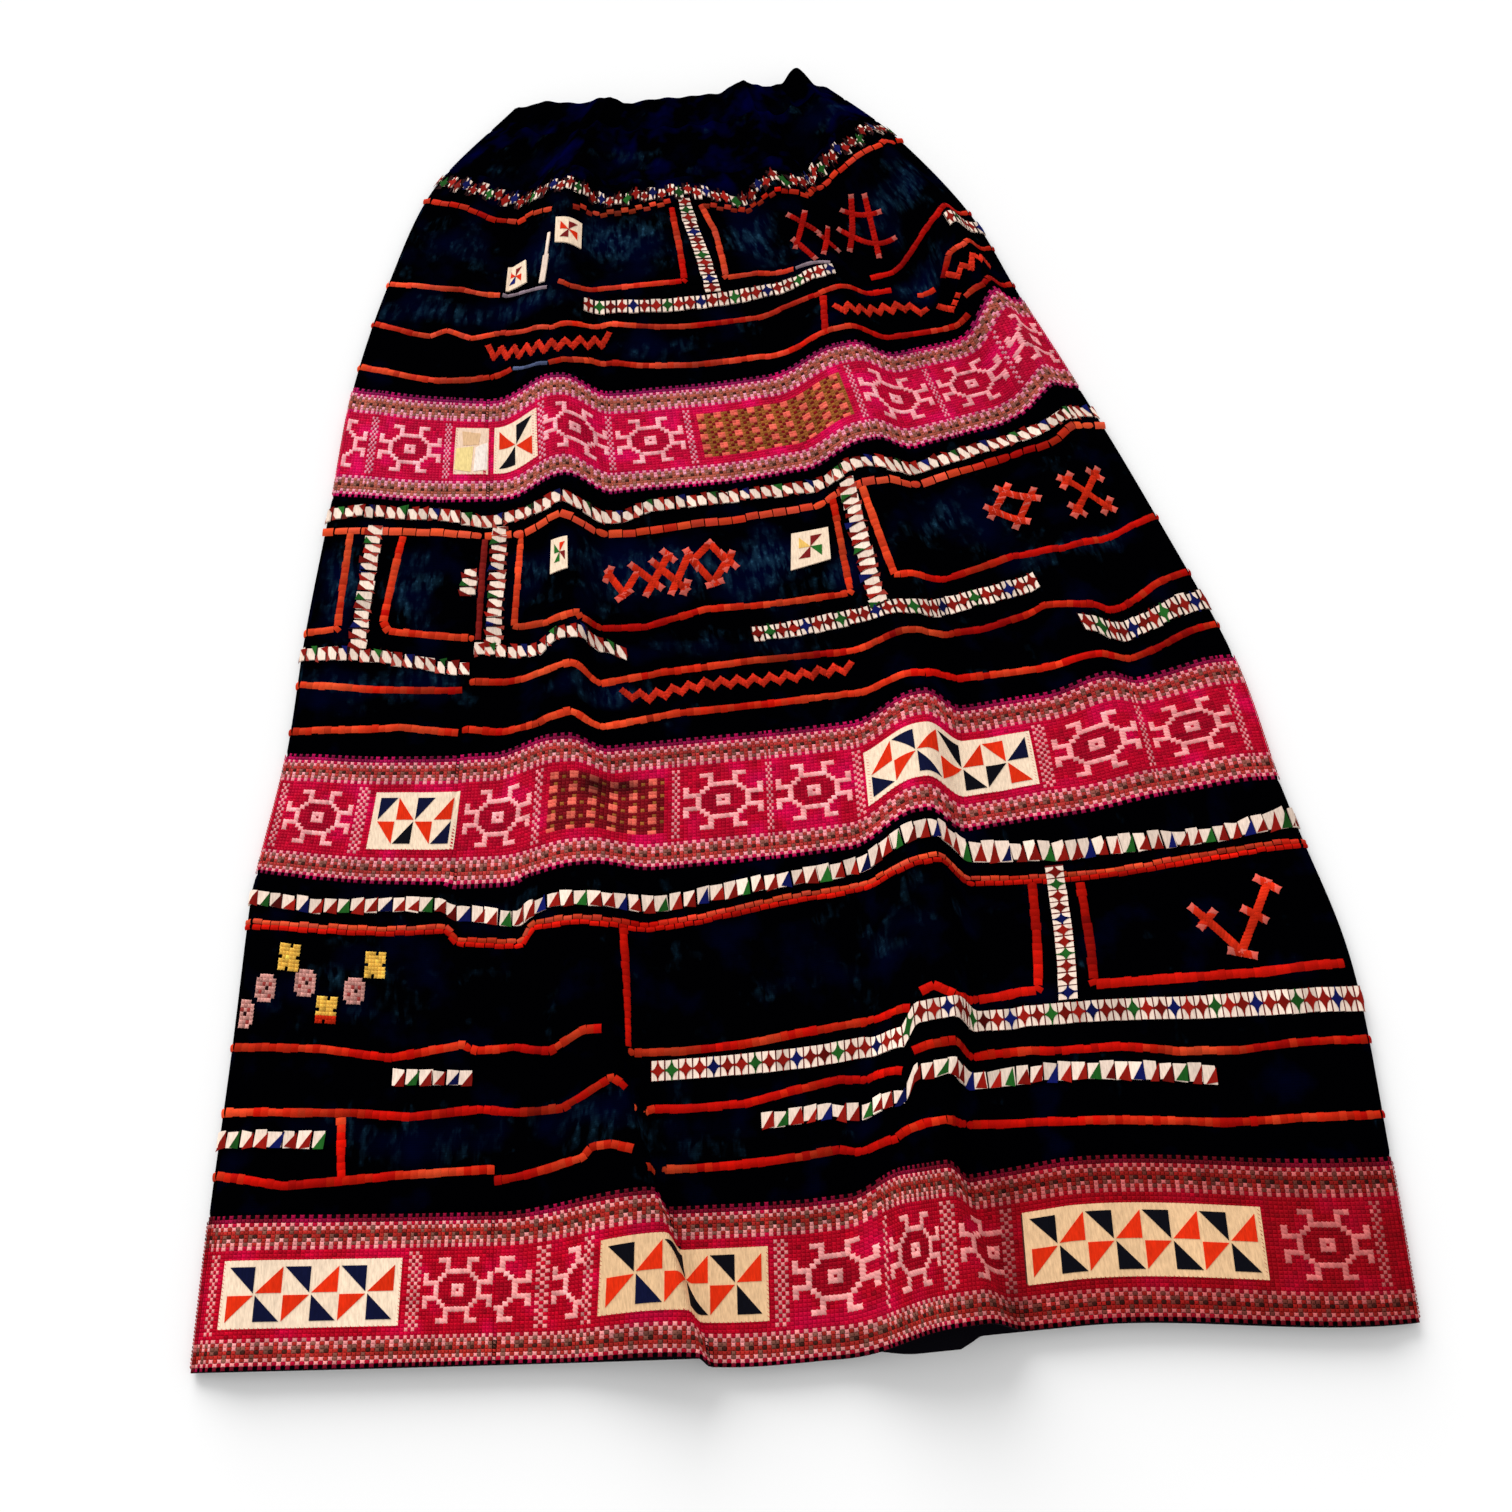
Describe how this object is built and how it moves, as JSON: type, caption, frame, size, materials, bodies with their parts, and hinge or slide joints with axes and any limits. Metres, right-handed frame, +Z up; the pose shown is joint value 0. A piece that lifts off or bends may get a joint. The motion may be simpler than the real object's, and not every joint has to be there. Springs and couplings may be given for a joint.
{
  "type": "hmong skirt",
  "caption": "Long gathered tube skirt of indigo cloth with cross-stitched bands and white patchwork strips, laid flat with its front up.",
  "frame": {"origin": "centre of the bounding box in plan, on the surface that the skirt lies on", "axes": "+Y from the hem to the waist, +X to the right as the front is seen, +Z up through the front"},
  "size_m": [0.7023, 0.9484, 0.0309],
  "materials": {
    "indigo_cloth": "matt handwoven indigo cotton, nearly black, with slubs of blue",
    "cross_stitch": "close cross-stitch in magenta, crimson and pale pink thread",
    "white_cotton": "off-white patchwork cotton with small coloured triangles"
  },
  "bodies": {
    "root": {"waist_casing": "indigo_cloth", "plain_top": "indigo_cloth", "dark_panel_1": "indigo_cloth", "stitched_band_1": "cross_stitch", "dark_panel_2": "indigo_cloth", "stitched_band_2": "cross_stitch", "dark_panel_3": "indigo_cloth", "stitched_band_3": "cross_stitch", "tooth_strip_1": "white_cotton", "low_strip_1_middle": "white_cotton", "low_strip_1_right": "white_cotton", "tooth_strip_2": "white_cotton", "low_strip_2_left": "white_cotton", "low_strip_2_beside": "white_cotton", "low_strip_2_middle": "white_cotton", "low_strip_2_right": "white_cotton", "tooth_strip_3": "white_cotton", "low_strip_3_left": "white_cotton", "low_strip_3_right": "white_cotton", "lowest_strip_3_left": "white_cotton", "lowest_strip_3_right": "white_cotton", "white_bar_1": "white_cotton", "square_patch_1_upper": "white_cotton", "square_patch_1_lower": "white_cotton", "white_bar_2_left": "white_cotton", "white_bar_2_beside": "white_cotton", "white_bar_2_right": "white_cotton", "square_patch_2_fold": "white_cotton", "square_patch_2_right": "white_cotton", "white_bar_3": "white_cotton"}
  },
  "joints": []
}
